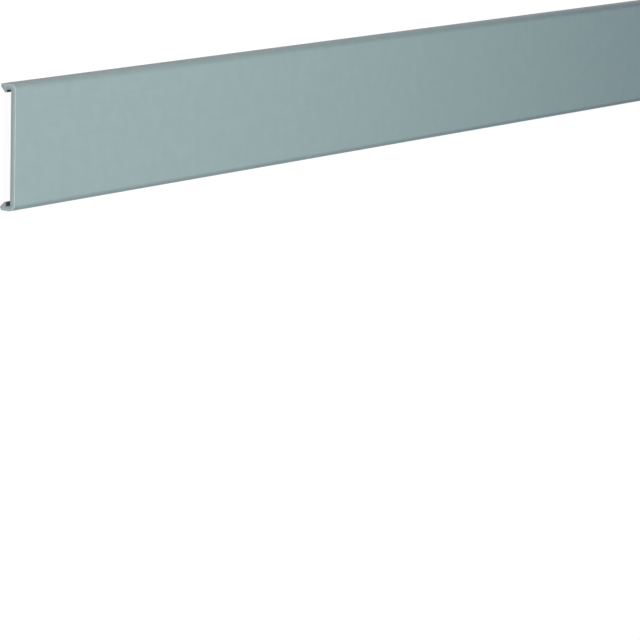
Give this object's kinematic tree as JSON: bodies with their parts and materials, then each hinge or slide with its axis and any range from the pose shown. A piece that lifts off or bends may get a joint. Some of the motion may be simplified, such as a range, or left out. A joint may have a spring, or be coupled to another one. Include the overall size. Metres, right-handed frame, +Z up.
{
  "type": "wiring duct cover",
  "caption": "Long press-on cover for slotted wiring duct: a flat plastic web with rounded edges and short legs that end in inward snap lips.",
  "frame": {"origin": "on the floor plane, under the middle of the cover's length and width", "axes": "+X along the length, +Y across the width, +Z up through the plain outer face; the two legs point down"},
  "size_m": [2, 0.04, 0.0054],
  "materials": {
    "stone_grey_pvc": "satin"
  },
  "bodies": {
    "root": {"duct_cover": "stone_grey_pvc"}
  },
  "joints": []
}
